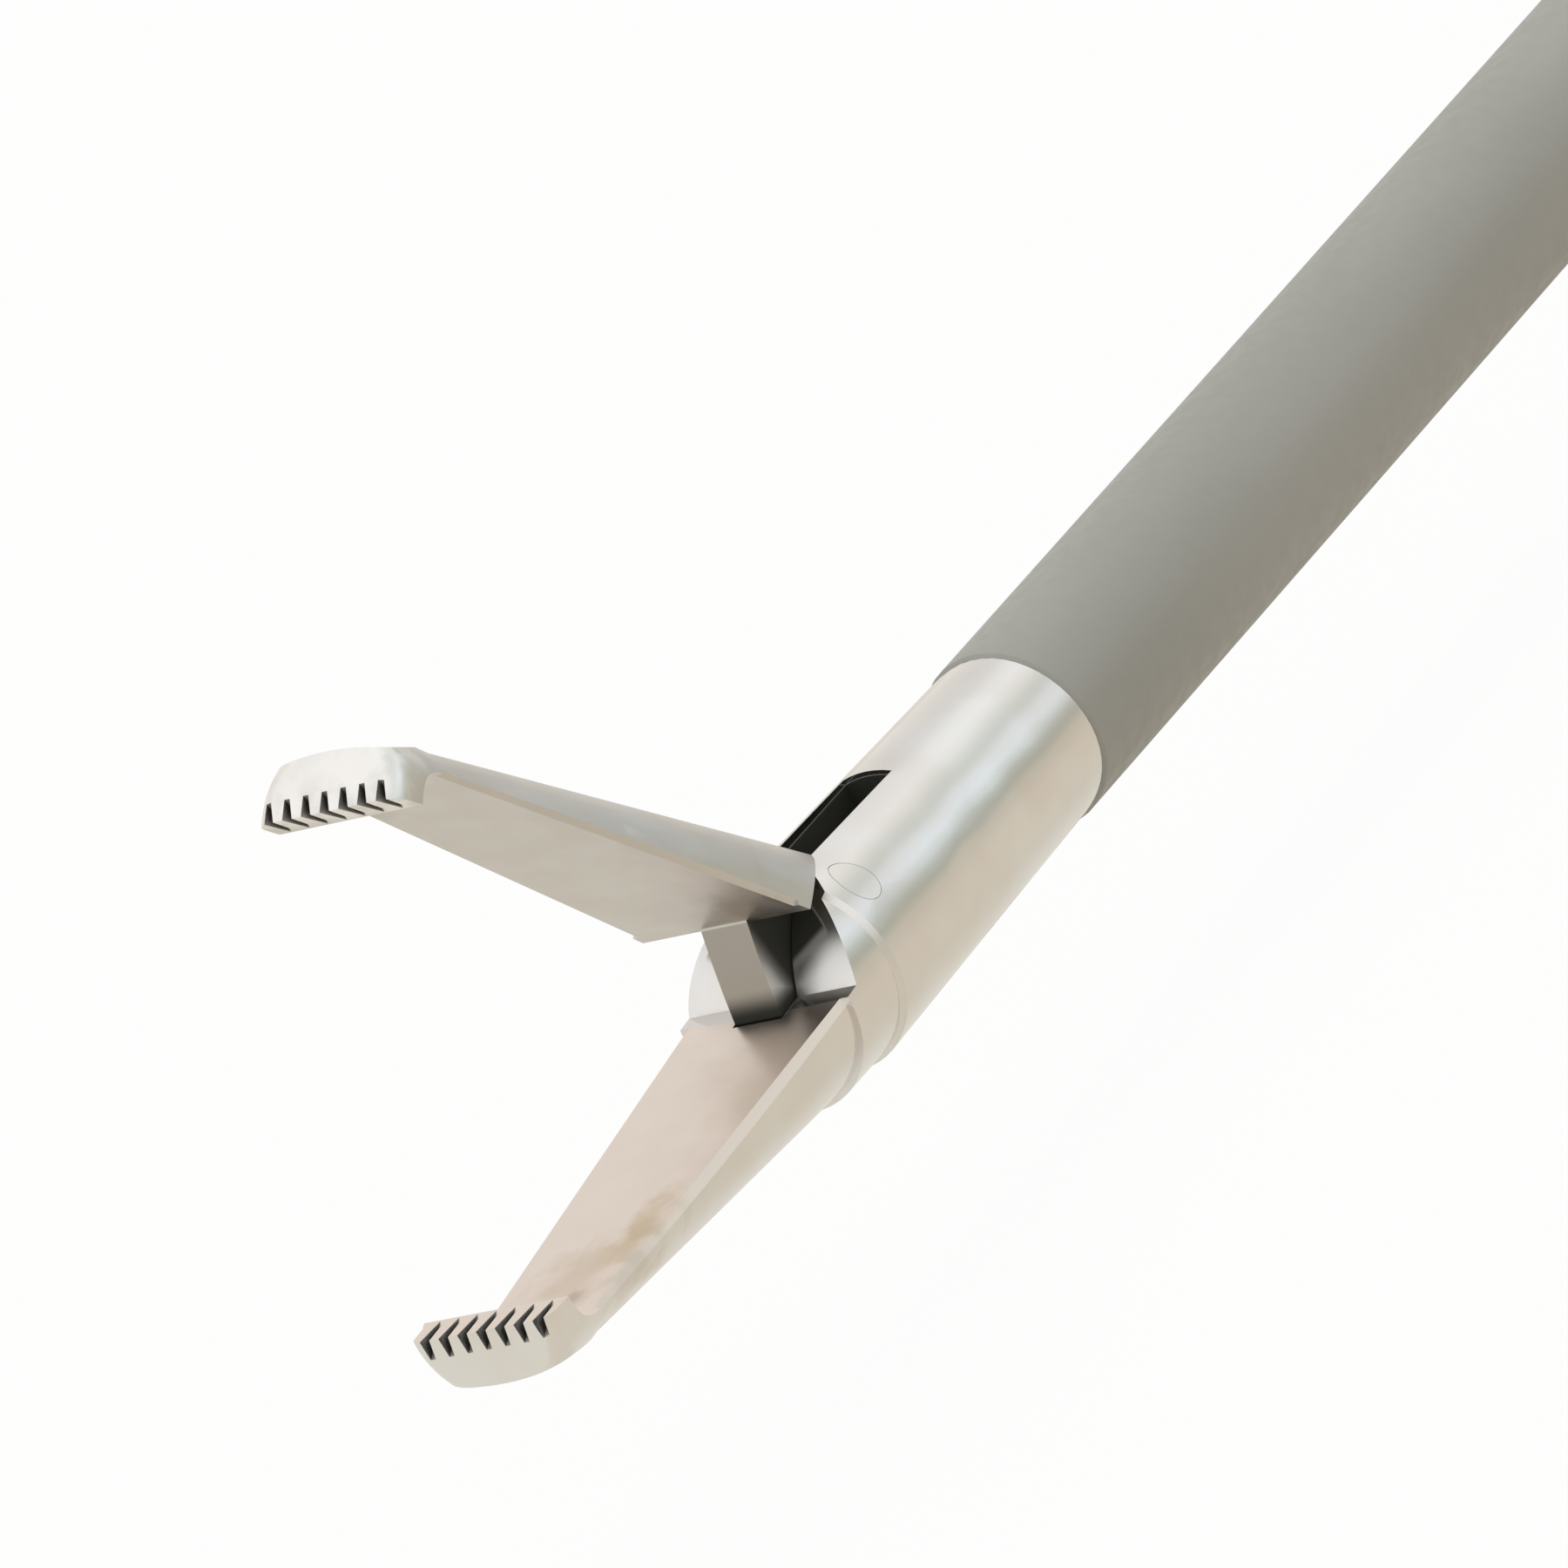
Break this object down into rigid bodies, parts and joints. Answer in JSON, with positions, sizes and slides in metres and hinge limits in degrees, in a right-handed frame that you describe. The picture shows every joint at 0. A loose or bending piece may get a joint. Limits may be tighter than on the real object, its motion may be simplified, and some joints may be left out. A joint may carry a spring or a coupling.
{
  "type": "endoscopic grasping forceps",
  "caption": "Slim tube-shaft grasping forceps with one fixed and one hinged toothed jaw, worked through a pull rod by a ring handle; the shaft turns with its knob.",
  "frame": {"origin": "on the shaft's axis at the front end of the grey sleeve, where the polished end piece starts", "axes": "+X along the shaft towards the jaw tips, +Z the way the moving jaw opens at rest, the flat ring handle in the XY plane with its rings at -Y"},
  "size_m": [0.335, 0.095, 0.0217],
  "materials": {
    "polished_steel": "polished stainless steel, pinkish-beige stains",
    "grey_sleeve": "matt grey insulating sleeve",
    "plain_steel": "turned stainless steel, satin",
    "black_plastic": "black moulded plastic, fine spark texture",
    "guide_plastic": "white low-friction plastic",
    "silicone": "dark grey silicone rubber"
  },
  "bodies": {
    "handle": {"handle_body": "black_plastic", "front_bushing": "plain_steel", "rod_seal": "silicone", "flush_port": "plain_steel", "flush_cap": "silicone", "connector_pin": "plain_steel", "pivot_screw": "plain_steel", "pivot_nut": "plain_steel", "pivot_washers": "guide_plastic"},
    "shaft": {"insulating_sleeve": "grey_sleeve", "shaft_tube": "plain_steel", "jaw_body": "polished_steel", "jaw_pivot_pin": "polished_steel", "rod_guide_1": "guide_plastic", "rod_guide_2": "guide_plastic", "rod_guide_3": "guide_plastic", "rotation_knob": "black_plastic", "knob_set_screw": "plain_steel", "shaft_hub": "plain_steel", "hub_o_ring": "silicone", "hub_retaining_ring": "plain_steel"},
    "rod": {"pull_rod": "plain_steel", "rod_fork": "plain_steel", "rod_ball": "plain_steel", "ball_lock_nut": "plain_steel"},
    "jaw": {"moving_jaw": "polished_steel", "drive_pin": "plain_steel"},
    "lever": {"thumb_lever": "black_plastic"}
  },
  "joints": [
    {"name": "lever_hinge", "type": "hinge", "parent": "handle", "child": "lever", "pos_m": [-0.262, -0.00697, 0], "axis": [0, 0, 1], "range_deg": [0, 10.53]},
    {"name": "shaft_spin", "type": "hinge", "parent": "handle", "child": "shaft", "pos_m": [0, 0, 0], "axis": [1, 0, 0], "continuous": true},
    {"name": "rod_slide", "type": "slide", "parent": "shaft", "child": "rod", "axis": [1, 0, 0], "range_m": [-0.00129, 0]},
    {"name": "jaw_hinge", "type": "hinge", "parent": "shaft", "child": "jaw", "pos_m": [0.0102, 0, 0.0018], "axis": [0, 1, 0], "range_deg": [0, 41.8]}
  ],
  "couplings": [
    {"joint": "jaw_hinge", "follows": "lever_hinge", "ratio": 3.9709},
    {"joint": "rod_slide", "follows": "lever_hinge", "m_per_rad": -0.0069902}
  ]
}
